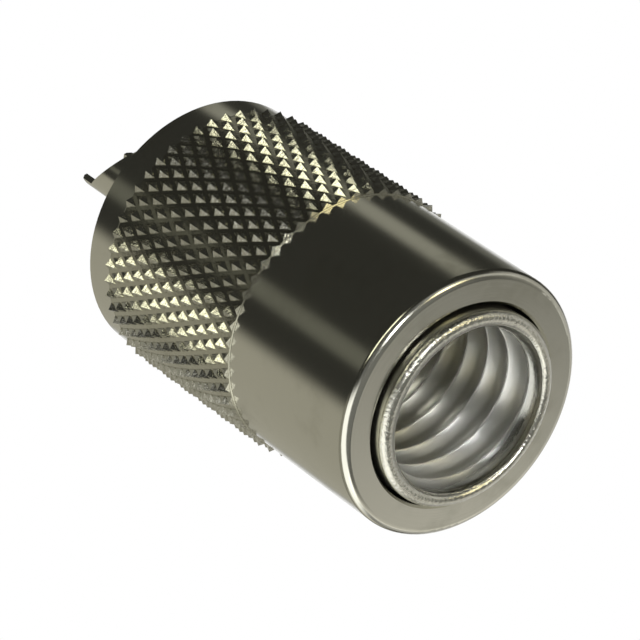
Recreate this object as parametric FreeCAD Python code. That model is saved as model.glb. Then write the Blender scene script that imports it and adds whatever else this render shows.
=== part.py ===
# Cable plug with a pull-back knurled coupling nut, for a 5/8-24 coaxial socket.
# Millimetres. The plug stands on its cable end: the origin is the centre of the cable-end rim,
# and +Z runs along the axis towards the centre pin.
import FreeCAD
import Part
import math
import os

# Clearances
NUT_ON_BARREL_CLEARANCE = 0.22
NUT_OVER_SHOULDER_CLEARANCE = 0.24
SEAT_CLEARANCE = 0.02

# Body of the plug, along the axis from its cable end
BARREL_RADIUS = 6.35
BARREL_LENGTH = 13.5
BARREL_WALL = 0.85
RIM_ROUNDING = 0.45
RIM_WIDTH = 0.8
MOUTH_DEPTH = 0.8
CABLE_BORE_DEPTH = 12.3
SHOULDER_THICKNESS = 3.0
SHOULDER_WIDTH = 0.85
WEB_THICKNESS = 2.2
COLLAR_BEARING = 0.6
SLEEVE_STEP = 1.3
SLEEVE_WALL = 0.9
SLEEVE_LENGTH = 12.5
SLEEVE_EDGE = 0.3
NECK_LENGTH = 0.8
NECK_DEPTH = 0.3

# Locating tips on the shoulder's front face
TIP_COUNT = 2
TIP_WIDTH = 1.1
TIP_HEIGHT = 0.6

# Coarse thread that bites into the cable's jacket
CABLE_THREAD_PITCH = 1.95
CABLE_THREAD_DEPTH = 0.38
CABLE_THREAD_LAND = 0.14
CABLE_THREAD_ROOT_FLAT = 0.7
CABLE_THREAD_TURNS = 5.5

# Coupling nut. Its bore passes the shoulder, and with these sizes it takes a 5/8-24 thread.
NUT_SETBACK = 0.8
NUT_LENGTH = 26.7
NUT_WALL = 1.16
NUT_REAR_ROUNDING = 0.5
NUT_FRONT_EDGE = 0.25
NUT_REAR_WALL = 2.4
NUT_HOLE_CHAMFER = 0.15
LIP_STEP = 0.06
LIP_LENGTH = 2.4
NUT_THREAD_DEPTH = 0.5
NUT_THREAD_LENGTH = 11.0
NUT_THREAD_LEAD_IN = 0.15
NUT_RELIEF = 0.1

# Diamond knurl: raised pyramids with flat grooves between them, in staggered rows
KNURL_HEIGHT = 0.4
KNURL_DEPTH = 0.33
KNURL_PYRAMID_SHARE = 0.72
KNURL_TURN_DEG = 1.5
KNURL_LENGTH = 12.8
KNURL_COLUMNS = 52
KNURL_HALF_ROWS = 13
KNURL_SEAT_DEPTH = 0.3

# Insulator and hollow centre pin
INSULATOR_LENGTH = 10.0
PIN_RADIUS = 1.98
PIN_WALL = 0.45
SHANK_STEP = 0.32
PIN_REACH = 11.25
PIN_TIP_EDGE = 0.25
COLLAR_STEP = 0.7
COLLAR_THICKNESS = 1.6
FUNNEL_WIDENING = 0.49
FUNNEL_DEPTH = 0.8
SCOOP_LENGTH = 3.58
SCOOP_PAST_AXIS = 0.4
SCOOP_FACING_DEG = 35.0

# Places along the axis that several pieces share
SHOULDER_BACK = BARREL_LENGTH
SHOULDER_FRONT = SHOULDER_BACK + SHOULDER_THICKNESS
SLEEVE_FRONT = SHOULDER_FRONT + SLEEVE_LENGTH
WEB_FRONT = CABLE_BORE_DEPTH + WEB_THICKNESS
INSULATOR_FRONT = WEB_FRONT + INSULATOR_LENGTH
NUT_BACK = NUT_SETBACK
NUT_FRONT = NUT_BACK + NUT_LENGTH
PIN_TIP = NUT_FRONT + PIN_REACH

# Radii that several pieces share, worked out from the barrel and the pin
MOUTH_RADIUS = BARREL_RADIUS - RIM_WIDTH
CABLE_THREAD_ROOT_RADIUS = BARREL_RADIUS - BARREL_WALL
CABLE_THREAD_CREST_RADIUS = CABLE_THREAD_ROOT_RADIUS - CABLE_THREAD_DEPTH
SHOULDER_RADIUS = BARREL_RADIUS + SHOULDER_WIDTH
SLEEVE_RADIUS = SHOULDER_RADIUS - SLEEVE_STEP
SLEEVE_BORE_RADIUS = SLEEVE_RADIUS - SLEEVE_WALL
NUT_HOLE_RADIUS = BARREL_RADIUS + NUT_ON_BARREL_CLEARANCE
NUT_CREST_RADIUS = SHOULDER_RADIUS + NUT_OVER_SHOULDER_CLEARANCE
NUT_BORE_RADIUS = NUT_CREST_RADIUS + NUT_THREAD_DEPTH
NUT_SMOOTH_RADIUS = NUT_CREST_RADIUS + NUT_WALL
KNURL_CREST_RADIUS = NUT_SMOOTH_RADIUS + KNURL_HEIGHT
KNURL_ROOT_RADIUS = KNURL_CREST_RADIUS - KNURL_DEPTH
PIN_BORE_RADIUS = PIN_RADIUS - PIN_WALL
SHANK_RADIUS = PIN_RADIUS + SHANK_STEP
COLLAR_RADIUS = SHANK_RADIUS + COLLAR_STEP
FUNNEL_RADIUS = PIN_BORE_RADIUS + FUNNEL_WIDENING
WEB_HOLE_RADIUS = COLLAR_RADIUS - COLLAR_BEARING


def turned(outline):
    """A solid of revolution about the axis, from a closed outline of (radius, height) corners."""
    corners = [FreeCAD.Vector(radius, 0, height) for radius, height in outline]
    face = Part.Face(Part.makePolygon(corners + corners[:1]))
    return face.revolve(FreeCAD.Vector(0, 0, 0), FreeCAD.Vector(0, 0, 1), 360)


def round_edges(shape, size, radius, height):
    """Round the circular edge of the given radius at the given height."""
    chosen = []
    for edge in shape.Edges:
        circle = edge.Curve
        if not isinstance(circle, Part.Circle):
            continue
        if abs(circle.Radius - radius) < 1e-4 and abs(circle.Center.z - height) < 1e-4:
            chosen.append(edge)
    return shape.makeFillet(size, chosen)


def cable_thread_groove():
    """The helical groove between the turns of the cable thread, hollow in section."""
    half_mouth = (CABLE_THREAD_PITCH - CABLE_THREAD_LAND) / 2
    half_root = CABLE_THREAD_ROOT_FLAT / 2
    flank = (half_mouth - half_root) / CABLE_THREAD_DEPTH
    # The cutting section reaches past the crest, and its flanks go on in line
    overlap = CABLE_THREAD_LAND / 5
    inner_radius = CABLE_THREAD_CREST_RADIUS - overlap
    half_inner = half_mouth + flank * overlap
    corners = [
        FreeCAD.Vector(inner_radius, 0, -half_inner),
        FreeCAD.Vector(CABLE_THREAD_ROOT_RADIUS, 0, -half_root),
        FreeCAD.Vector(CABLE_THREAD_ROOT_RADIUS, 0, half_root),
        FreeCAD.Vector(inner_radius, 0, half_inner),
    ]
    section = Part.makePolygon(corners + corners[:1])
    rise = CABLE_THREAD_PITCH * CABLE_THREAD_TURNS
    path = Part.makeHelix(CABLE_THREAD_PITCH, rise, CABLE_THREAD_ROOT_RADIUS)
    return Part.Wire(path.Edges).makePipeShell([section], True, True)


def locating_tips():
    """Small tips on the shoulder that enter the notches of the socket's rim."""
    tips = []
    for index in range(TIP_COUNT):
        tip = Part.makeBox(
            SHOULDER_RADIUS - SLEEVE_RADIUS,
            TIP_WIDTH,
            TIP_HEIGHT + SHOULDER_THICKNESS / 2,
            FreeCAD.Vector(SLEEVE_RADIUS, -TIP_WIDTH / 2, SHOULDER_FRONT - SHOULDER_THICKNESS / 2),
        )
        tip.rotate(FreeCAD.Vector(0, 0, 0), FreeCAD.Vector(0, 0, 1), index * 360 / TIP_COUNT)
        tips.append(tip)
    limit = Part.makeCylinder(SHOULDER_RADIUS, SLEEVE_FRONT)
    return [tip.common(limit) for tip in tips]


def make_plug_body():
    """Barrel, shoulder and front sleeve, turned in one piece, with the cable thread inside."""
    neck_radius = SLEEVE_RADIUS - NECK_DEPTH
    outline = [
        (MOUTH_RADIUS, 0),
        (BARREL_RADIUS, 0),
        (BARREL_RADIUS, SHOULDER_BACK),
        (SHOULDER_RADIUS, SHOULDER_BACK),
        (SHOULDER_RADIUS, SHOULDER_FRONT),
        (neck_radius, SHOULDER_FRONT),
        (neck_radius, SHOULDER_FRONT + NECK_LENGTH),
        (SLEEVE_RADIUS, SHOULDER_FRONT + NECK_LENGTH),
        (SLEEVE_RADIUS, SLEEVE_FRONT - SLEEVE_EDGE),
        (SLEEVE_RADIUS - SLEEVE_EDGE, SLEEVE_FRONT),
        (SLEEVE_BORE_RADIUS, SLEEVE_FRONT),
        (SLEEVE_BORE_RADIUS, WEB_FRONT),
        (WEB_HOLE_RADIUS, WEB_FRONT),
        (WEB_HOLE_RADIUS, CABLE_BORE_DEPTH),
        (CABLE_THREAD_CREST_RADIUS, CABLE_BORE_DEPTH),
        (CABLE_THREAD_CREST_RADIUS, MOUTH_DEPTH),
    ]
    body = turned(outline)
    body = round_edges(body, RIM_ROUNDING, BARREL_RADIUS, 0)
    groove = cable_thread_groove()
    groove.translate(FreeCAD.Vector(0, 0, MOUTH_DEPTH - CABLE_THREAD_PITCH / 2))
    body = body.cut(groove)
    return body.fuse(locating_tips())


def knurl_point(step, row, radius):
    """A corner of the knurl, in steps round the nut and half rows along it."""
    angle = math.pi * step / KNURL_COLUMNS
    height = row * KNURL_LENGTH / KNURL_HALF_ROWS
    return FreeCAD.Vector(radius * math.cos(angle), radius * math.sin(angle), height)


def triangle(first, second, third):
    """A flat face with three corners."""
    return Part.Face(Part.makePolygon([first, second, third, first]))


def knurl_cell(step, row):
    """Two opposite quarters of pyramids and the groove between them."""
    near, far = (step, step + 1) if (step + row) % 2 == 0 else (step + 1, step)
    across = (far - near) * KNURL_PYRAMID_SHARE
    low_peak = knurl_point(near, row, KNURL_CREST_RADIUS)
    low_side = knurl_point(near + across, row, KNURL_ROOT_RADIUS)
    low_top = knurl_point(near, row + KNURL_PYRAMID_SHARE, KNURL_ROOT_RADIUS)
    low_crossing = knurl_point(far, row, KNURL_ROOT_RADIUS)
    high_peak = knurl_point(far, row + 1, KNURL_CREST_RADIUS)
    high_side = knurl_point(far - across, row + 1, KNURL_ROOT_RADIUS)
    high_foot = knurl_point(far, row + 1 - KNURL_PYRAMID_SHARE, KNURL_ROOT_RADIUS)
    high_crossing = knurl_point(near, row + 1, KNURL_ROOT_RADIUS)
    return [
        triangle(low_peak, low_side, low_top),
        triangle(high_peak, high_side, high_foot),
        triangle(low_side, low_crossing, high_foot),
        triangle(low_side, high_foot, high_side),
        triangle(low_side, high_side, low_top),
        triangle(low_top, high_side, high_crossing),
    ]


def knurl_end(row):
    """The flat end of the knurl, its edge through the pyramids of the given row."""
    corners = []
    for step in range(row % 2, 2 * KNURL_COLUMNS, 2):
        corners.append(knurl_point(step - KNURL_PYRAMID_SHARE, row, KNURL_ROOT_RADIUS))
        corners.append(knurl_point(step, row, KNURL_CREST_RADIUS))
        corners.append(knurl_point(step + KNURL_PYRAMID_SHARE, row, KNURL_ROOT_RADIUS))
        corners.append(knurl_point(step + 1, row, KNURL_ROOT_RADIUS))
    return Part.Face(Part.makePolygon(corners + corners[:1]))


def make_knurl_band(inner_radius):
    """A ring whose outside is a field of raised pyramids, standing on the plane at height zero."""
    faces = [knurl_end(0), knurl_end(KNURL_HALF_ROWS)]
    for row in range(KNURL_HALF_ROWS):
        for step in range(2 * KNURL_COLUMNS):
            faces += knurl_cell(step, row)
    shell = Part.makeShell(faces)
    shell.sewShape()
    core = Part.makeCylinder(inner_radius, KNURL_LENGTH)
    band = Part.makeSolid(shell).cut(core)
    return band.rotate(FreeCAD.Vector(0, 0, 0), FreeCAD.Vector(0, 0, 1), KNURL_TURN_DEG)


def make_coupling_nut():
    """Knurled nut with a rear wall that catches the shoulder and a threaded front bore."""
    lip_radius = NUT_SMOOTH_RADIUS + LIP_STEP
    lip_back = NUT_FRONT - LIP_LENGTH
    thread_back = NUT_FRONT - NUT_THREAD_LENGTH
    wall_front = NUT_BACK + NUT_REAR_WALL
    relief_radius = NUT_BORE_RADIUS + NUT_RELIEF
    outline = [
        (NUT_HOLE_RADIUS + NUT_HOLE_CHAMFER, NUT_BACK),
        (NUT_SMOOTH_RADIUS, NUT_BACK),
        (NUT_SMOOTH_RADIUS, lip_back),
        (lip_radius, lip_back),
        (lip_radius, NUT_FRONT - NUT_FRONT_EDGE),
        (lip_radius - NUT_FRONT_EDGE, NUT_FRONT),
        (NUT_BORE_RADIUS + NUT_THREAD_LEAD_IN, NUT_FRONT),
        (NUT_BORE_RADIUS, NUT_FRONT - NUT_THREAD_LEAD_IN),
        (NUT_BORE_RADIUS, thread_back),
        (relief_radius, thread_back - NUT_RELIEF),
        (relief_radius, wall_front),
        (NUT_HOLE_RADIUS, wall_front),
        (NUT_HOLE_RADIUS, NUT_BACK + NUT_HOLE_CHAMFER),
    ]
    nut = turned(outline)
    nut = round_edges(nut, NUT_REAR_ROUNDING, NUT_SMOOTH_RADIUS, NUT_BACK)
    band = make_knurl_band(NUT_SMOOTH_RADIUS - KNURL_SEAT_DEPTH)
    band.translate(FreeCAD.Vector(0, 0, lip_back - KNURL_LENGTH))
    return nut.fuse(band)


def make_insulator():
    """Bush that centres the pin in the sleeve and traps the pin's collar against the web."""
    outer_radius = SLEEVE_BORE_RADIUS - SEAT_CLEARANCE
    bore_radius = SHANK_RADIUS + SEAT_CLEARANCE
    pocket_radius = COLLAR_RADIUS + SEAT_CLEARANCE
    pocket_front = WEB_FRONT + COLLAR_THICKNESS + SEAT_CLEARANCE
    outline = [
        (pocket_radius, WEB_FRONT),
        (outer_radius, WEB_FRONT),
        (outer_radius, INSULATOR_FRONT),
        (bore_radius, INSULATOR_FRONT),
        (bore_radius, pocket_front),
        (pocket_radius, pocket_front),
    ]
    return turned(outline)


def solder_scoop():
    """What is cut from the pin's tip so that the conductor can be soldered in the open tube."""
    reach = 2 * PIN_RADIUS
    foot = PIN_TIP - SCOOP_LENGTH
    # The cut runs along the axis, then out through the wall on a ramp at 45 degrees
    corners = [
        FreeCAD.Vector(-SCOOP_PAST_AXIS, -reach, PIN_TIP + SCOOP_LENGTH),
        FreeCAD.Vector(-SCOOP_PAST_AXIS, -reach, foot + PIN_RADIUS + SCOOP_PAST_AXIS),
        FreeCAD.Vector(reach, -reach, foot + PIN_RADIUS - reach),
        FreeCAD.Vector(reach, -reach, PIN_TIP + SCOOP_LENGTH),
    ]
    side = Part.Face(Part.makePolygon(corners + corners[:1]))
    scoop = side.extrude(FreeCAD.Vector(0, 2 * reach, 0))
    # The open side faces a direction counted from -Y, towards +X
    scoop.rotate(FreeCAD.Vector(0, 0, 0), FreeCAD.Vector(0, 0, 1), SCOOP_FACING_DEG - 90)
    return scoop


def make_centre_contact():
    """Hollow pin with a collar at its cable end and an open solder scoop at its tip."""
    collar_front = WEB_FRONT + COLLAR_THICKNESS
    outline = [
        (FUNNEL_RADIUS, WEB_FRONT),
        (COLLAR_RADIUS, WEB_FRONT),
        (COLLAR_RADIUS, collar_front),
        (SHANK_RADIUS, collar_front),
        (SHANK_RADIUS, INSULATOR_FRONT),
        (PIN_RADIUS, INSULATOR_FRONT),
        (PIN_RADIUS, PIN_TIP - PIN_TIP_EDGE),
        (PIN_RADIUS - PIN_TIP_EDGE, PIN_TIP),
        (PIN_BORE_RADIUS, PIN_TIP),
        (PIN_BORE_RADIUS, WEB_FRONT + FUNNEL_DEPTH),
    ]
    return turned(outline).cut(solder_scoop())


def main():
    """Build every piece and write one file for each."""
    pieces = {
        "plug_body": make_plug_body(),
        "coupling_nut": make_coupling_nut(),
        "insulator": make_insulator(),
        "centre_contact": make_centre_contact(),
    }
    os.makedirs("parts", exist_ok=True)
    for name, shape in pieces.items():
        solids = shape.Solids
        print(name, "solids", len(solids), "valid", shape.isValid(), "volume", round(shape.Volume, 2))
        solids[0].exportStep("parts/" + name + ".step")


main()
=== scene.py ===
import math
from types import SimpleNamespace

import bpy
from mathutils import Matrix, Vector


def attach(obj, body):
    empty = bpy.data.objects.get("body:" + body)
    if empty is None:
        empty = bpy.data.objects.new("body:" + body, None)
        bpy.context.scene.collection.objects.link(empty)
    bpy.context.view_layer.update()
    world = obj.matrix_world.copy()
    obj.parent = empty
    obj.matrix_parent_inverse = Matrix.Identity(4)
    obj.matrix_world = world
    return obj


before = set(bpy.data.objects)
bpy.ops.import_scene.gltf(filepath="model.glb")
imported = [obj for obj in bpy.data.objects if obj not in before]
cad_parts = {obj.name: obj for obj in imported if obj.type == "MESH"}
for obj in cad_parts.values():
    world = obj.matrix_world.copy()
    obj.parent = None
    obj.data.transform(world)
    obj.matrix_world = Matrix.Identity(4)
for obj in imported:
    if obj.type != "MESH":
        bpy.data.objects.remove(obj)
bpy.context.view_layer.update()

# Looks of a nickel-plated cable plug with a knurled coupling nut. The nut's fine thread is
# modelled here. All else is materials on the solids, the photograph's camera and a soft studio.
# Sizes and heights are in millimetres, unless a comment gives another unit.
MM = 0.001

# Camera of the photograph, in the frame of the plug: it looks up at the cable end from below
CAMERA_PLACE = (-0.62, -176.73, -157.34)
CAMERA_RIGHT = (0.5710, 0.5720, -0.5889)
CAMERA_UP = (0.8209, -0.3979, 0.4096)
CAMERA_LENS = 227.5
CAMERA_SENSOR = 36.0
CAMERA_SEES_FROM = 10
CAMERA_SEES_TO = 20000

# Tints of the plating, of its dull blotches, of the painted light and painted shade in the bore
# and the knurl's grooves, and of the plastic
NICKEL = (0.645, 0.637, 0.57, 1)
# Dull blotches on the plating, and also the painted shade deep in the bore
NICKEL_DULL_AND_DEEP_SHADE = (0.49, 0.482, 0.41, 1)
# Painted light: a paler copy of the plating inside the bore
BORE_PAINTED_LIGHT = (0.88, 0.88, 0.855, 1)
# Painted shade in the knurl's grooves
GROOVE_PAINTED_SHADE = (0.30, 0.29, 0.20, 1)
# Painted shade in the body's mouth
MOUTH_PAINTED_SHADE = (0.16, 0.16, 0.135, 1)
PLASTIC = (0.86, 0.83, 0.74, 1)
PLASTIC_DARK = (0.76, 0.72, 0.62, 1)

# Tints of the studio
FLOOR_COLOUR = (0.86, 0.86, 0.85, 1)
BACKGROUND_COLOUR = (1, 1, 1, 1)
WORLD_LIGHT = (0.8, 0.8, 0.78, 1)

# Sizes of the solids that the materials and the nut's fine thread follow
BARREL_RADIUS = 6.35
RIM_WIDTH = 0.8
RIM_ROUNDING = 0.45
CABLE_THREAD_PITCH = 1.95
CABLE_THREAD_DEPTH = 0.38
CABLE_THREAD_LAND = 0.14
CABLE_THREAD_ROOT_FLAT = 0.7
CABLE_THREAD_START = -0.175
CABLE_THREAD_END = 10.6
NUT_FRONT = 27.5
NUT_SMOOTH_RADIUS = 8.6
NUT_BORE_RADIUS = 7.94
LIP_LENGTH = 2.4
KNURL_LENGTH = 12.8
KNURL_ROOT_RADIUS = 8.67

# Worked out from those sizes
MOUTH_RADIUS = BARREL_RADIUS - RIM_WIDTH
RIM_TOP_RADIUS = BARREL_RADIUS - RIM_ROUNDING
RIM_FLAT = RIM_WIDTH - RIM_ROUNDING
GROOVE_HALF_ROOT = CABLE_THREAD_ROOT_FLAT / 2
GROOVE_HALF_WIDTH = (CABLE_THREAD_PITCH - CABLE_THREAD_LAND) / 2
KNURL_FRONT = NUT_FRONT - LIP_LENGTH
KNURL_BACK = KNURL_FRONT - KNURL_LENGTH

# The nut's fine thread, of 24 turns to the inch
NUT_THREAD_PITCH = 25.4 / 24
NUT_THREAD_DEPTH = 0.5
NUT_THREAD_FOOT_WIDTH = 0.92
NUT_THREAD_CREST_WIDTH = 0.34
NUT_THREAD_FIRST_TURN = 17.1
NUT_THREAD_TURNS = 9
NUT_THREAD_STEPS_PER_TURN = 96
NUT_THREAD_SMOOTH_DEG = 30

# Turned plating of each piece: rings to the millimetre, how deep the rings and the pits are,
# and the roughness where the plating is bright
PIN_TURNING = SimpleNamespace(rings=9.0, ring_depth=0.002, pit_depth=0.001, roughness=0.20)
NUT_TURNING = SimpleNamespace(rings=10.0, ring_depth=0.0012, pit_depth=0.0, roughness=0.16)
BODY_TURNING = SimpleNamespace(rings=7.0, ring_depth=0.004, pit_depth=0.0015, roughness=0.20)

# Patterns of noise: scale to the metre, detail and roughness. The rings' scale is to the ring.
RING_PATTERN = (1.0, 4, 0.65)
RING_WANDER_PATTERN = (260, 2, 0.5)
DULL_PATTERN = (190, 4, 0.6)
PIT_PATTERN = (5200, 3, 0.7)
KNURL_PATTERN = (2600, 4, 0.72)
BURR_PATTERN = (7000, 2, 0.6)
RIM_PATTERN = (4500, 3, 0.6)

# How far each pattern lifts the surface or moves the rings
RING_WANDER = 0.12
KNURL_UNEVENNESS = 0.024
BURR_HEIGHT = 0.16
RIM_GRAIN = 0.06
MOULD_TEXTURE = 0.004

# Levels of noise at which the plating starts to be dulled or pitted, and is wholly so
DULL_LEVELS = (0.48, 0.85)
PIT_LEVELS = (0.45, 0.75)

# Where on the nut each finish starts and where it is whole, by radius or by height
ON_KNURL_RADII = (NUT_SMOOTH_RADIUS + 0.03, NUT_SMOOTH_RADIUS + 0.06)
ON_KNURL_FROM = (KNURL_BACK - 0.07, KNURL_BACK - 0.02)
ON_KNURL_TO = (KNURL_FRONT + 0.07, KNURL_FRONT + 0.02)
ABOVE_GROOVE_RADII = (KNURL_ROOT_RADIUS + 0.01, KNURL_ROOT_RADIUS + 0.06)

# The same on the body. The bore's finishes, its painted light and its painted shade change with
# the height above the rim.
IN_BORE_RADII = (MOUTH_RADIUS, MOUTH_RADIUS - 0.02)
ON_RIM_HEIGHTS = (0.5, 0.35)
IN_MOUTH_HEIGHTS = (1.0, 0.7)
SATIN_HEIGHTS = (0.7, 1.3)
# Heights of the painted light in the bore, of the painted shade deep inside and of the painted
# shade at the mouth
BORE_LIGHT_HEIGHTS = (0.4, 0.9)
DEEP_SHADE_HEIGHTS = (4.0, 8.0)
MOUTH_SHADE_FROM = (0.35, 0.5)
MOUTH_SHADE_TO = (1.5, 0.9)
RIM_FALL_HEIGHTS = (12.0, 4.0)
ROUNDED_THREAD_HEIGHTS = (CABLE_THREAD_END + 0.2, CABLE_THREAD_END - 0.2)
BURRS_UP_FLANK = (0.5, 0.57)

# Strength of each finish: shares of its tint, painted shade or grain, and changes of roughness
DULLED_ROUGHNESS_CHANGE = 0.10
# Shares of painted shade in the knurl's grooves, at the mouth and deep in the bore
GROOVE_SHADE_SHARE = 0.45
MOUTH_SHADE_SHARE = 0.6
DEEP_BORE_SHADE = 0.7
MOUTH_GRAIN_SHARE = 0.2
SATIN_ROUGHNESS_CHANGE = 0.12
POLISHED_ROUGHNESS_CHANGE = -0.09
PLASTIC_ROUGHNESS = 0.42
FLOOR_ROUGHNESS = 0.8

# Streaks of light across the body's turned rings
BODY_STREAKING = 0.8
BODY_STREAK_TURN = 0.25

# Relief of the rim and of the cable thread's groove: how much the rim's flat falls and the
# groove's hollow rises with the square of a distance, and how steep the groove's flanks are.
# The rim's flat ends at 45 degrees, and the hollow ends as high as the flanks do.
RIM_FALL = 1 / (2 * RIM_FLAT)
GROOVE_HOLLOW = CABLE_THREAD_DEPTH / GROOVE_HALF_WIDTH**2
GROOVE_FLANK = CABLE_THREAD_DEPTH / (GROOVE_HALF_WIDTH - GROOVE_HALF_ROOT)

# The studio is a dome round the plug, with soft panels on it. Each has its bearing from -Y
# towards +X and its half width and edge in degrees, its lowest and highest height on the
# unit sphere with the edge there, and its colour.
PANELS = {
    "left_wall": (-105, 50, 8, 0.60, 0.9, 0.06, (0.40, 0.385, 0.32)),
    "left_low": (-96, 52, 7, 0.08, 0.56, 0.05, (0.27, 0.26, 0.21)),
    "left_high": (-100, 75, 20, 0.9, 1.2, 0.04, (0.24, 0.235, 0.195)),
    "front_glow": (-15, 6, 5, 0.55, 0.85, 0.08, (0.13, 0.13, 0.105)),
    "front_lamp": (9, 18, 3, -0.02, 0.17, 0.03, (3.3, 3.25, 2.45)),
    "right_strip": (98, 8, 5, 0.57, 0.88, 0.06, (0.30, 0.295, 0.25)),
    "right_far": (150, 8, 8, 0.6, 0.9, 0.06, (0.12, 0.12, 0.10)),
    "left_floor": (-82, 44, 10, -0.74, 0.10, 0.06, (1.5, 1.5, 1.44)),
    "left_back": (-126, 12, 8, 0.10, 0.34, 0.06, (0.50, 0.49, 0.45)),
    "right_back": (152, 8, 6, 0.40, 0.55, 0.05, (0.40, 0.39, 0.36)),
    "under_back": (-145, 35, 5, -0.70, -0.4, 0.08, (0.60, 0.58, 0.52)),
    "under_right": (145, 40, 13, -0.70, -0.4, 0.08, (0.28, 0.275, 0.25)),
    "under": (0, 180, 1, -1.2, -0.78, 0.06, (0.17, 0.17, 0.16)),
    "horizon_back": (165, 58, 12, -0.50, 0.0, 0.06, (0.50, 0.49, 0.46)),
    "right_low": (85, 30, 12, -0.68, -0.42, 0.06, (0.35, 0.35, 0.34)),
    "camera_side": (20, 70, 20, -0.75, -0.38, 0.1, (0.13, 0.13, 0.125)),
    "flash": (26, 9, 4, -0.93, -0.80, 0.03, (20.0, 20.0, 20.0)),
    "warm_lamp": (82, 12, 7, -0.84, -0.68, 0.03, (4.6, 4.1, 2.5)),
}
ROOM_COLOUR = (0.035, 0.035, 0.030)

# The window in the dome, given as a panel without a colour. The metal sees the white
# background through it.
WINDOW = (180, 21, 9, 0.05, 1.2, 0.06)

# Sizes of the studio
DOME_RADIUS = 1000
DOME_SEGMENTS = 48
DOME_RINGS = 24
FLOOR_SIZE = 1600

# Soft square lamps: place, size, power in watts and colour, all aimed at the plug's middle.
# The metal sees the dome's panels in their place.
LAMPS = {
    "key_lamp": ((-260, -120, 330), 160, 1.2, (1, 0.97, 0.9)),
    "fill_lamp": ((300, -240, 120), 200, 0.7, (1, 0.99, 0.96)),
}
LAMP_AIM = (0, 0, 15)


# Node helpers

def feed(tree, socket, value):
    """Link a socket to an output, or set it to a plain number or colour."""
    if isinstance(value, bpy.types.NodeSocket):
        tree.links.new(value, socket)
    else:
        socket.default_value = value


def math_node(tree, operation, *values, clamp=False):
    """A Math node fed by outputs or numbers; returns its output."""
    node = tree.nodes.new("ShaderNodeMath")
    node.operation = operation
    node.use_clamp = clamp
    for socket, value in zip(node.inputs, values):
        feed(tree, socket, value)
    return node.outputs[0]


def add(tree, first, second):
    """The sum of two values."""
    return math_node(tree, "ADD", first, second)


def multiply(tree, first, *others):
    """The product of two or more values."""
    for other in others:
        first = math_node(tree, "MULTIPLY", first, other)
    return first


def vector_node(tree, operation, *values):
    """A Vector Math node fed by outputs or tuples; returns the node."""
    node = tree.nodes.new("ShaderNodeVectorMath")
    node.operation = operation
    for socket, value in zip(node.inputs, values):
        feed(tree, socket, value)
    return node


def split_vector(tree, vector):
    """The X, Y and Z outputs of a vector."""
    node = tree.nodes.new("ShaderNodeSeparateXYZ")
    tree.links.new(vector, node.inputs[0])
    return node.outputs


def smooth_step(tree, value, span):
    """Nought at the first end of a span, one at its second, and smooth between.

    The second end may lie below the first.
    """
    node = tree.nodes.new("ShaderNodeMapRange")
    node.interpolation_type = "SMOOTHSTEP"
    start, end = span
    node.inputs["From Min"].default_value = start
    node.inputs["From Max"].default_value = end
    tree.links.new(value, node.inputs["Value"])
    return node.outputs["Result"]


def noise(tree, vector, pattern):
    """A noise texture on a vector; returns its value."""
    node = tree.nodes.new("ShaderNodeTexNoise")
    for name, value in zip(("Scale", "Detail", "Roughness"), pattern):
        node.inputs[name].default_value = value
    tree.links.new(vector, node.inputs["Vector"])
    return node.outputs["Fac"]


def mix_colours(tree, share, first, second):
    """The first colour with a share of the second in it; each is an output or plain."""
    node = tree.nodes.new("ShaderNodeMix")
    node.data_type = "RGBA"
    tree.links.new(share, node.inputs["Factor"])
    colours = {socket.name: socket for socket in node.inputs if socket.type == "RGBA"}
    feed(tree, colours["A"], first)
    feed(tree, colours["B"], second)
    return next(socket for socket in node.outputs if socket.type == "RGBA")


def mix_shaders(tree, share, first, second):
    """The first shader with a share of the second in it."""
    node = tree.nodes.new("ShaderNodeMixShader")
    for socket, value in zip(node.inputs, (share, first, second)):
        tree.links.new(value, socket)
    return node.outputs[0]


def bump(tree, shader, relief):
    """Bump a shader by a relief in millimetres."""
    node = tree.nodes.new("ShaderNodeBump")
    node.inputs["Strength"].default_value = 1.0
    node.inputs["Distance"].default_value = MM
    tree.links.new(relief, node.inputs["Height"])
    tree.links.new(node.outputs["Normal"], shader.inputs["Normal"])


# Node groups that several materials share

def make_group(name, inputs, outputs):
    """A shader node group that takes a Vector and named numbers, and puts out named numbers."""
    group = bpy.data.node_groups.new(name, "ShaderNodeTree")
    group.interface.new_socket(name="Vector", in_out="INPUT", socket_type="NodeSocketVector")
    for side, names in (("INPUT", inputs), ("OUTPUT", outputs)):
        for socket in names:
            group.interface.new_socket(name=socket, in_out=side, socket_type="NodeSocketFloat")
    return group, group.nodes.new("NodeGroupInput"), group.nodes.new("NodeGroupOutput")


def use_group(tree, group, vector):
    """A group placed among other nodes and fed with a vector; returns its node."""
    node = tree.nodes.new("ShaderNodeGroup")
    node.node_tree = group
    tree.links.new(vector, node.inputs["Vector"])
    return node


def make_axis_group():
    """Distance from the plug's axis and height along it, in millimetres."""
    group, start, end = make_group("axis_distance", [], ["Radius", "Height"])
    x, y, z = split_vector(group, start.outputs["Vector"])
    squares = [math_node(group, "POWER", value, 2) for value in (x, y)]
    across = math_node(group, "SQRT", add(group, *squares))
    group.links.new(multiply(group, across, 1 / MM), end.inputs["Radius"])
    group.links.new(multiply(group, z, 1 / MM), end.inputs["Height"])
    return group


def make_turning_group(axis_group):
    """Fine rings left by turning, which wander a little."""
    group, start, end = make_group("turning_marks", ["Rings per mm"], ["Rings"])
    vector = start.outputs["Vector"]
    axis = use_group(group, axis_group, vector)
    wander = multiply(group, noise(group, vector, RING_WANDER_PATTERN), RING_WANDER)
    place = group.nodes.new("ShaderNodeCombineXYZ")
    for source, target in (("Radius", "X"), ("Height", "Z")):
        wandered = add(group, axis.outputs[source], wander)
        rings = multiply(group, wandered, start.outputs["Rings per mm"])
        group.links.new(rings, place.inputs[target])
    group.links.new(noise(group, place.outputs[0], RING_PATTERN), end.inputs["Rings"])
    return group


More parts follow.
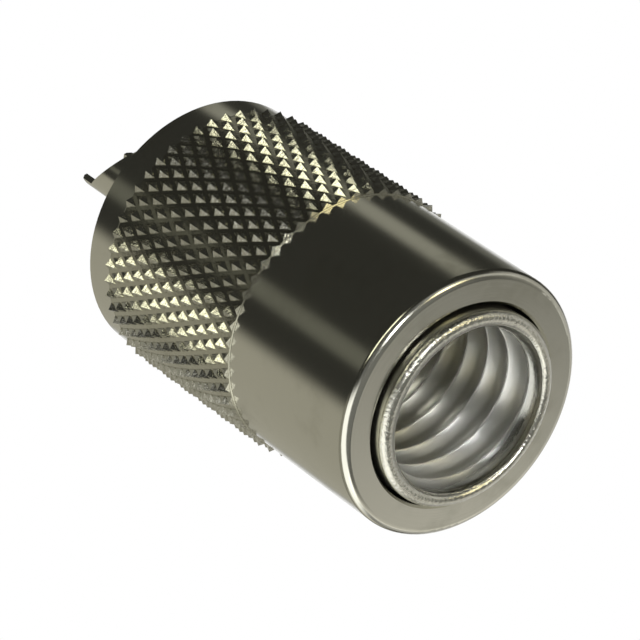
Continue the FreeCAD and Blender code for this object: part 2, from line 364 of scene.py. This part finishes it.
def make_wear_group():
    """Broad blotches where a surface is dulled, and small pits."""
    group, start, end = make_group("surface_wear", [], ["Dulled", "Pits"])
    vector = start.outputs["Vector"]
    blotches = smooth_step(group, noise(group, vector, DULL_PATTERN), DULL_LEVELS)
    pits = smooth_step(group, noise(group, vector, PIT_PATTERN), PIT_LEVELS)
    group.links.new(blotches, end.inputs["Dulled"])
    group.links.new(pits, end.inputs["Pits"])
    return group


# Materials of the pieces

def start_material(name):
    """A new material with its node tree, its shader and the place on the piece."""
    material = bpy.data.materials.new(name)
    material.use_nodes = True
    tree = material.node_tree
    shader = tree.nodes["Principled BSDF"]
    place = tree.nodes.new("ShaderNodeTexCoord").outputs["Object"]
    return SimpleNamespace(material=material, tree=tree, shader=shader, place=place)


def start_plating(name, groups, turning):
    """Nickel plate over turned brass: fine rings, dulled blotches and small pits.

    Its colour, roughness and relief are left open, for the piece to add to them.
    """
    plating = start_material(name)
    tree = plating.tree
    plating.shader.inputs["Metallic"].default_value = 1.0
    marks = use_group(tree, groups["turning"], plating.place)
    marks.inputs["Rings per mm"].default_value = turning.rings
    wear = use_group(tree, groups["wear"], plating.place)
    dulled = wear.outputs["Dulled"]
    plating.colour = mix_colours(tree, dulled, NICKEL, NICKEL_DULL_AND_DEEP_SHADE)
    rougher = multiply(tree, dulled, DULLED_ROUGHNESS_CHANGE)
    plating.roughness = add(tree, rougher, turning.roughness)
    rings = multiply(tree, marks.outputs["Rings"], turning.ring_depth)
    pits = multiply(tree, wear.outputs["Pits"], turning.pit_depth)
    plating.relief = add(tree, rings, pits)
    return plating


def finish_plating(plating):
    """Link the plating's colour, roughness and relief; returns the material."""
    tree, shader = plating.tree, plating.shader
    tree.links.new(plating.colour, shader.inputs["Base Color"])
    tree.links.new(plating.roughness, shader.inputs["Roughness"])
    bump(tree, shader, plating.relief)
    return plating.material


def make_pin_nickel(groups):
    """The centre pin: plain turned plating."""
    return finish_plating(start_plating("pin_nickel", groups, PIN_TURNING))


def make_nut_nickel(groups):
    """The coupling nut: bright turned plating, with facets left uneven by the knurling rolls, and
    painted shade in the knurl's grooves.
    """
    plating = start_plating("nut_nickel", groups, NUT_TURNING)
    tree = plating.tree
    axis = use_group(tree, groups["axis"], plating.place)
    radius, height = axis.outputs["Radius"], axis.outputs["Height"]
    on_knurl = multiply(
        tree,
        smooth_step(tree, radius, ON_KNURL_RADII),
        smooth_step(tree, height, ON_KNURL_FROM),
        smooth_step(tree, height, ON_KNURL_TO),
    )
    above_groove = smooth_step(tree, radius, ABOVE_GROOVE_RADII)
    in_groove = math_node(tree, "SUBTRACT", on_knurl, above_groove, clamp=True)
    # Painted shade: the knurl's grooves are darkened
    painted_shade = multiply(tree, in_groove, GROOVE_SHADE_SHARE)
    plating.colour = mix_colours(tree, painted_shade, plating.colour, GROOVE_PAINTED_SHADE)
    grain = noise(tree, plating.place, KNURL_PATTERN)
    uneven = multiply(tree, grain, KNURL_UNEVENNESS, on_knurl)
    plating.relief = add(tree, plating.relief, uneven)
    return finish_plating(plating)


def bore_light_and_shade(tree, plate, in_bore, height):
    """The bore's tint: painted light past the mouth, painted shade deep inside, and painted shade
    at the mouth.
    """
    # Painted shade: the bore darkens deep inside
    deep = multiply(tree, smooth_step(tree, height, DEEP_SHADE_HEIGHTS), DEEP_BORE_SHADE)
    lit_tint = mix_colours(tree, deep, BORE_PAINTED_LIGHT, NICKEL_DULL_AND_DEEP_SHADE)
    # Painted light: the bore past the mouth is paler
    lit_share = multiply(tree, in_bore, smooth_step(tree, height, BORE_LIGHT_HEIGHTS))
    colour = mix_colours(tree, lit_share, plate, lit_tint)
    # Painted shade: the mouth between the rim and the first turns is darkened
    before_turns = smooth_step(tree, height, MOUTH_SHADE_TO)
    past_rim = smooth_step(tree, height, MOUTH_SHADE_FROM)
    painted_shade = multiply(tree, before_turns, past_rim, in_bore, MOUTH_SHADE_SHARE)
    return mix_colours(tree, painted_shade, colour, MOUTH_PAINTED_SHADE)


def rim_fall(tree, radius, height):
    """Relief that lets the rim's flat fall smoothly into the bore."""
    inward = math_node(tree, "SUBTRACT", RIM_TOP_RADIUS, radius)
    inward = math_node(tree, "MINIMUM", math_node(tree, "MAXIMUM", inward, 0.0), RIM_FLAT)
    near_rim = smooth_step(tree, height, RIM_FALL_HEIGHTS)
    return multiply(tree, inward, inward, -RIM_FALL, near_rim)


def groove_rounding(tree, place, height):
    """Relief that rounds the cable thread's groove into one hollow, with burrs on the crest."""
    split = split_vector(tree, place)
    angle = math_node(tree, "ARCTAN2", split["Y"], split["X"])
    climb = multiply(tree, angle, CABLE_THREAD_PITCH / (2 * math.pi))
    along = math_node(tree, "SUBTRACT", height, climb)
    along = math_node(tree, "SUBTRACT", along, CABLE_THREAD_START)
    half_pitch = CABLE_THREAD_PITCH / 2
    from_root = math_node(tree, "WRAP", along, half_pitch, -half_pitch)
    hollow = multiply(tree, from_root, from_root, GROOVE_HOLLOW)
    up_flank = math_node(tree, "ABSOLUTE", from_root)
    up_flank = math_node(tree, "SUBTRACT", up_flank, GROOVE_HALF_ROOT)
    up_flank = math_node(tree, "MAXIMUM", up_flank, 0.0)
    rounded = math_node(tree, "SUBTRACT", hollow, multiply(tree, up_flank, GROOVE_FLANK))
    on_crest = smooth_step(tree, up_flank, BURRS_UP_FLANK)
    burrs = multiply(tree, noise(tree, place, BURR_PATTERN), BURR_HEIGHT, on_crest)
    return add(tree, rounded, burrs)


def make_body_nickel(groups):
    """The plug's body: a rounded, grainy rim, and a satin bore with a rounded thread, with
    painted light in the bore and painted shade deep inside and at the mouth.
    """
    plating = start_plating("body_nickel", groups, BODY_TURNING)
    tree, shader = plating.tree, plating.shader
    axis = use_group(tree, groups["axis"], plating.place)
    radius, height = axis.outputs["Radius"], axis.outputs["Height"]
    in_bore = smooth_step(tree, radius, IN_BORE_RADII)
    on_rim = smooth_step(tree, height, ON_RIM_HEIGHTS)
    in_mouth = multiply(tree, smooth_step(tree, height, IN_MOUTH_HEIGHTS), in_bore)
    past_mouth = multiply(tree, in_bore, smooth_step(tree, height, SATIN_HEIGHTS))
    in_thread = multiply(tree, smooth_step(tree, height, ROUNDED_THREAD_HEIGHTS), in_bore)

    # The bore's tint holds painted light and painted shade
    plating.colour = bore_light_and_shade(tree, plating.colour, in_bore, height)

    polished = math_node(tree, "MAXIMUM", on_rim, in_mouth)
    satin = multiply(tree, past_mouth, SATIN_ROUGHNESS_CHANGE)
    polish = multiply(tree, polished, POLISHED_ROUGHNESS_CHANGE)
    plating.roughness = add(tree, plating.roughness, add(tree, satin, polish))

    grainy = math_node(tree, "MAXIMUM", on_rim, multiply(tree, in_mouth, MOUTH_GRAIN_SHARE))
    grain = multiply(tree, noise(tree, plating.place, RIM_PATTERN), RIM_GRAIN, grainy)
    rim = add(tree, rim_fall(tree, radius, height), grain)
    thread = multiply(tree, groove_rounding(tree, plating.place, height), in_thread)
    plating.relief = add(tree, plating.relief, add(tree, rim, thread))

    rings = tree.nodes.new("ShaderNodeTangent")
    rings.direction_type = "RADIAL"
    rings.axis = "Z"
    tree.links.new(rings.outputs["Tangent"], shader.inputs["Tangent"])
    shader.inputs["Anisotropic"].default_value = BODY_STREAKING
    shader.inputs["Anisotropic Rotation"].default_value = BODY_STREAK_TURN
    return finish_plating(plating)


def make_plastic(groups):
    """Moulded insulator: off-white, with soft mottling and fine moulded texture."""
    plastic = start_material("moulded_plastic")
    tree, shader = plastic.tree, plastic.shader
    wear = use_group(tree, groups["wear"], plastic.place)
    colour = mix_colours(tree, wear.outputs["Dulled"], PLASTIC, PLASTIC_DARK)
    tree.links.new(colour, shader.inputs["Base Color"])
    shader.inputs["Roughness"].default_value = PLASTIC_ROUGHNESS
    bump(tree, shader, multiply(tree, wear.outputs["Pits"], MOULD_TEXTURE))
    return plastic.material


def dress(node_name, material):
    """Give a CAD node its material."""
    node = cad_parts[node_name]
    node.data.materials.clear()
    node.data.materials.append(material)


# The nut's fine thread

def select_crest_side(thread):
    """Select the end of the thread's flat section that faces the axis, at negative X."""
    mesh = thread.data
    for vertex in mesh.vertices:
        vertex.select = vertex.co.x < 0
    for edge in mesh.edges:
        edge.select = all(mesh.vertices[index].select for index in edge.vertices)
    for face in mesh.polygons:
        face.select = False


def make_nut_thread(material):
    """The coupling nut's fine thread: one helical ridge on the wall of its front bore."""
    foot_width = NUT_THREAD_FOOT_WIDTH * MM
    narrowing = NUT_THREAD_CREST_WIDTH / NUT_THREAD_FOOT_WIDTH
    middle_radius = (NUT_BORE_RADIUS - NUT_THREAD_DEPTH / 2) * MM
    first_turn = NUT_THREAD_FIRST_TURN * MM

    # The ridge's section, wide at its foot and narrow at its crest
    bpy.ops.object.select_all(action="DESELECT")
    bpy.ops.mesh.primitive_plane_add(size=1, location=(0, 0, 0))
    thread = bpy.context.object
    thread.name = "nut_thread"
    bpy.ops.object.mode_set(mode="EDIT")
    bpy.ops.transform.rotate(value=math.pi / 2, orient_axis="X", center_override=(0, 0, 0))
    size = (NUT_THREAD_DEPTH * MM, 1, foot_width)
    bpy.ops.transform.resize(value=size, center_override=(0, 0, 0))
    bpy.ops.object.mode_set(mode="OBJECT")
    select_crest_side(thread)
    bpy.ops.object.mode_set(mode="EDIT")
    bpy.ops.transform.resize(value=(1, 1, narrowing), center_override=(0, 0, 0))
    bpy.ops.mesh.select_all(action="SELECT")
    bpy.ops.transform.translate(value=(middle_radius, 0, first_turn))
    bpy.ops.object.mode_set(mode="OBJECT")

    # Its sweep along the helix
    screw = thread.modifiers.new("helix", "SCREW")
    screw.axis = "Z"
    screw.angle = 2 * math.pi
    screw.screw_offset = NUT_THREAD_PITCH * MM
    screw.iterations = NUT_THREAD_TURNS
    screw.steps = NUT_THREAD_STEPS_PER_TURN
    screw.render_steps = NUT_THREAD_STEPS_PER_TURN
    screw.use_smooth_shade = False
    bpy.ops.object.modifier_apply(modifier="helix")

    # Its closed ends
    bpy.ops.object.mode_set(mode="EDIT")
    bpy.ops.mesh.select_all(action="SELECT")
    bpy.ops.mesh.fill_holes(sides=4)
    bpy.ops.mesh.normals_make_consistent(inside=False)
    bpy.ops.object.mode_set(mode="OBJECT")
    bpy.ops.object.shade_smooth_by_angle(angle=math.radians(NUT_THREAD_SMOOTH_DEG))
    thread.data.materials.append(material)
    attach(thread, "nut")


# Camera and studio

def make_camera():
    """The photograph's camera."""
    data = bpy.data.cameras.new("photo_camera")
    data.lens = CAMERA_LENS
    data.sensor_width = CAMERA_SENSOR
    data.clip_start = CAMERA_SEES_FROM * MM
    data.clip_end = CAMERA_SEES_TO * MM
    camera = bpy.data.objects.new("photo_camera", data)
    bpy.context.scene.collection.objects.link(camera)
    right = Vector(CAMERA_RIGHT).normalized()
    up = Vector(CAMERA_UP).normalized()
    back = right.cross(up).normalized()
    turn = Matrix((right, up, back)).transposed().to_4x4()
    camera.matrix_world = Matrix.Translation(Vector(CAMERA_PLACE) * MM) @ turn
    bpy.context.scene.camera = camera


def panel_mask(tree, level, height, panel):
    """How far a direction lies within a panel, from nought to one."""
    bearing, half_width, edge, low, high, height_edge = panel
    facing = (math.sin(math.radians(bearing)), -math.cos(math.radians(bearing)), 0)
    toward = vector_node(tree, "DOT_PRODUCT", level, facing).outputs["Value"]
    outer = math.cos(math.radians(min(half_width + edge, 180)))
    inner = math.cos(math.radians(max(half_width - edge, 0)))
    across = smooth_step(tree, toward, (outer, inner))
    above = smooth_step(tree, height, (low - height_edge, low + height_edge))
    below = smooth_step(tree, height, (high + height_edge, high - height_edge))
    return multiply(tree, across, above, below)


def make_dome_material():
    """The dome's soft panels and its window, placed by the direction from the plug."""
    material = bpy.data.materials.new("studio_panels")
    material.use_nodes = True
    tree = material.node_tree
    tree.nodes.clear()
    place = tree.nodes.new("ShaderNodeTexCoord").outputs["Object"]
    direction = vector_node(tree, "NORMALIZE", place).outputs[0]
    height = split_vector(tree, direction)["Z"]
    level = vector_node(tree, "MULTIPLY", direction, (1, 1, 0)).outputs[0]
    level = vector_node(tree, "NORMALIZE", level).outputs[0]
    light = ROOM_COLOUR
    for *panel, colour in PANELS.values():
        lit = vector_node(tree, "SCALE", colour)
        tree.links.new(panel_mask(tree, level, height, panel), lit.inputs["Scale"])
        light = vector_node(tree, "ADD", lit.outputs[0], light).outputs[0]
    glow = tree.nodes.new("ShaderNodeEmission")
    tree.links.new(light, glow.inputs["Color"])
    clear = tree.nodes.new("ShaderNodeBsdfTransparent")
    window = panel_mask(tree, level, height, WINDOW)
    end = tree.nodes.new("ShaderNodeOutputMaterial")
    surface = mix_shaders(tree, window, glow.outputs[0], clear.outputs[0])
    tree.links.new(surface, end.inputs["Surface"])
    return material


def make_dome():
    """A dome with soft panels that lights the plug, with a window to the white background."""
    bpy.ops.object.select_all(action="DESELECT")
    bpy.ops.mesh.primitive_uv_sphere_add(
        segments=DOME_SEGMENTS,
        ring_count=DOME_RINGS,
        radius=DOME_RADIUS * MM,
        location=(0, 0, 0),
    )
    dome = bpy.context.object
    dome.name = "studio_dome"
    dome.visible_camera = False
    dome.data.materials.append(make_dome_material())


def make_world():
    """White to the camera, in reflections and through glass, and a plain grey light otherwise."""
    world = bpy.data.worlds.new("studio")
    bpy.context.scene.world = world
    world.use_nodes = True
    tree = world.node_tree
    tree.nodes.clear()
    room = tree.nodes.new("ShaderNodeBackground")
    room.inputs["Color"].default_value = WORLD_LIGHT
    background = tree.nodes.new("ShaderNodeBackground")
    background.inputs["Color"].default_value = BACKGROUND_COLOUR
    rays = tree.nodes.new("ShaderNodeLightPath").outputs
    seen = math_node(tree, "MAXIMUM", rays["Is Camera Ray"], rays["Is Glossy Ray"])
    seen = math_node(tree, "MAXIMUM", seen, rays["Is Transmission Ray"])
    end = tree.nodes.new("ShaderNodeOutputWorld")
    surface = mix_shaders(tree, seen, room.outputs[0], background.outputs[0])
    tree.links.new(surface, end.inputs["Surface"])


def make_floor():
    """A pale floor that shows only from above, because the photo's camera stands below it."""
    bpy.ops.object.select_all(action="DESELECT")
    bpy.ops.mesh.primitive_plane_add(size=FLOOR_SIZE * MM, location=(0, 0, 0))
    floor = bpy.context.object
    floor.name = "floor"
    floor.visible_glossy = False
    floor.visible_diffuse = False
    floor.visible_shadow = False
    floor.visible_transmission = False
    pale = start_material("pale_floor")
    tree, shader = pale.tree, pale.shader
    shader.inputs["Base Color"].default_value = FLOOR_COLOUR
    shader.inputs["Roughness"].default_value = FLOOR_ROUGHNESS
    under = tree.nodes.new("ShaderNodeNewGeometry").outputs["Backfacing"]
    clear = tree.nodes.new("ShaderNodeBsdfTransparent")
    surface = mix_shaders(tree, under, shader.outputs[0], clear.outputs[0])
    tree.links.new(surface, tree.nodes["Material Output"].inputs["Surface"])
    floor.data.materials.append(pale.material)


def make_lamps():
    """The soft lamps, which light the floor and the plastic."""
    for name, (place, size, power, colour) in LAMPS.items():
        data = bpy.data.lights.new(name, "AREA")
        data.size = size * MM
        data.energy = power
        data.color = colour
        lamp = bpy.data.objects.new(name, data)
        bpy.context.scene.collection.objects.link(lamp)
        lamp.visible_glossy = False
        place = Vector(place) * MM
        aim = (Vector(LAMP_AIM) * MM - place).to_track_quat("-Z", "Y")
        lamp.matrix_world = Matrix.Translation(place) @ aim.to_matrix().to_4x4()


def main():
    bpy.context.scene.view_settings.view_transform = "Standard"
    axis_group = make_axis_group()
    groups = {
        "axis": axis_group,
        "turning": make_turning_group(axis_group),
        "wear": make_wear_group(),
    }
    nut_nickel = make_nut_nickel(groups)
    dress("coupling_nut", nut_nickel)
    dress("plug_body", make_body_nickel(groups))
    dress("centre_contact", make_pin_nickel(groups))
    dress("insulator", make_plastic(groups))
    make_nut_thread(nut_nickel)
    make_camera()
    make_world()
    make_dome()
    make_floor()
    make_lamps()


main()
